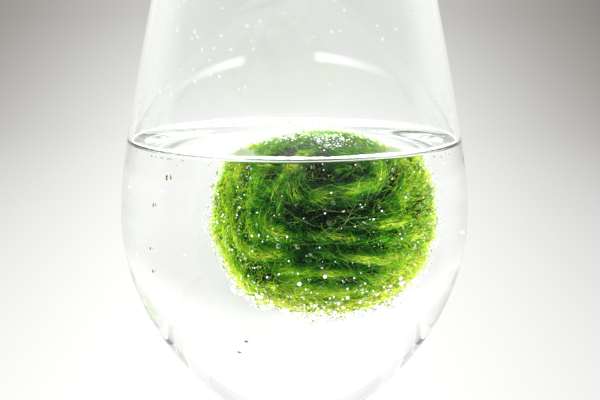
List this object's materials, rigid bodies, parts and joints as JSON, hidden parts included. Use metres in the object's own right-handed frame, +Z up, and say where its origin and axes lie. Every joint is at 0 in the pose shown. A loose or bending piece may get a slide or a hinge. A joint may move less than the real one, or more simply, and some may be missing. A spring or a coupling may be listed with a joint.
{
  "type": "marimo moss ball in a glass of water",
  "caption": "Round green moss ball floating at the surface of the water in a clear stemmed tulip glass; a small table aquarium.",
  "frame": {"origin": "on the surface it stands on, at the middle of the glass foot's resting ring, on the glass axis", "axes": "+Z up along the glass axis from the foot to the rim; the ball floats a little to +X and -Y of the axis; -Y faces the viewer"},
  "size_m": [0.088, 0.088, 0.2156],
  "materials": {
    "clear_glass": "polished",
    "clear_water": "polished",
    "moss": "matte"
  },
  "bodies": {
    "root": {"glass": "clear_glass", "water": "clear_water", "moss_ball": "moss"}
  },
  "joints": []
}
